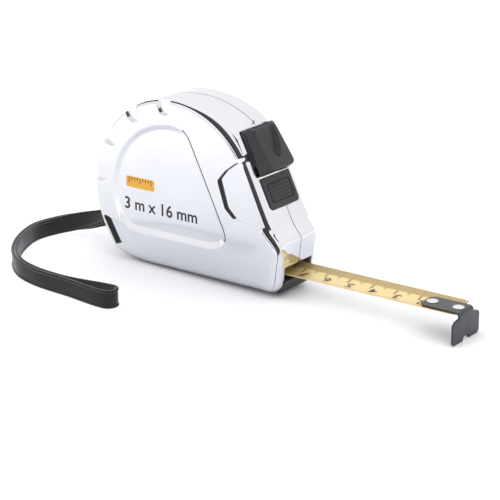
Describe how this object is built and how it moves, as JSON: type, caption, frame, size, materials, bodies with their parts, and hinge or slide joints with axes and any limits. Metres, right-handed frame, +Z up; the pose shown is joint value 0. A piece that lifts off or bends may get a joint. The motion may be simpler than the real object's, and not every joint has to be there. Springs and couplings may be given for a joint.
{
  "type": "tape measure",
  "caption": "Pocket tape measure: chromed clamshell case, thumb lock, spring reel, concave steel blade with end hook, wrist strap",
  "frame": {"origin": "on the base plane, under the middle of the case, on the parting plane of its two halves", "axes": "+X runs out along the drawn blade to the end hook, +Z is up from the base, and -Y is the side that the wrist strap lies on"},
  "size_m": [0.1888, 0.0708, 0.0726],
  "materials": {
    "case_chrome": "bright chrome plating on moulded plastic",
    "dark_moulding": "charcoal moulded plastic with a soft sheen",
    "bright_steel": "turned and plated steel",
    "strap_band": "smooth black band with raised edges",
    "yellow_blade": "yellow lacquered steel with dark graduations",
    "reel_plastic": "plain moulded plastic",
    "spring_steel": "blued spring steel",
    "hook_steel": "dark plated steel",
    "pad_rubber": "moulded rubber"
  },
  "bodies": {
    "case": {"near_shell": "case_chrome", "far_shell": "case_chrome", "mouth_guard": "dark_moulding", "lock_plate": "dark_moulding", "case_screws": "bright_steel", "centre_post": "bright_steel", "lever_pin": "bright_steel", "strap_bar": "bright_steel", "wrist_strap": "strap_band", "blade_lead": "yellow_blade"},
    "reel": {"reel_drum": "reel_plastic", "reel_lid": "reel_plastic", "blade_coil": "yellow_blade", "power_spring": "spring_steel", "spring_washer": "reel_plastic"},
    "blade": {"blade": "yellow_blade", "hook_rivets": "bright_steel"},
    "hook": {"end_hook": "hook_steel"},
    "button": {"lock_button": "dark_moulding", "lock_slider": "reel_plastic"},
    "lever": {"brake_lever": "spring_steel", "brake_pad": "pad_rubber", "lever_spring": "spring_steel"}
  },
  "joints": [
    {"name": "blade_slide", "type": "slide", "parent": "case", "child": "blade", "axis": [1, 0, 0], "range_m": [-0.0688, 0]},
    {"name": "reel_turn", "type": "hinge", "parent": "case", "child": "reel", "pos_m": [-0.0068, 0, 0.036], "axis": [0, 1, 0], "range_deg": [0, 199]},
    {"name": "hook_play", "type": "slide", "parent": "blade", "child": "hook", "axis": [1, 0, 0], "range_m": [-0.0005, 0.0005]},
    {"name": "button_slide", "type": "slide", "parent": "case", "child": "button", "axis": [0.4384, 0, -0.8988], "range_m": [0, 0.004], "stiffness_N_per_m": 150},
    {"name": "lever_turn", "type": "hinge", "parent": "case", "child": "lever", "pos_m": [0.03004, 0, 0.021], "axis": [0, -1, 0], "range_deg": [0, 11.5]}
  ],
  "couplings": [
    {"joint": "reel_turn", "follows": "blade_slide", "rad_per_m": -50.25},
    {"joint": "lever_turn", "follows": "button_slide", "rad_per_m": 50}
  ]
}
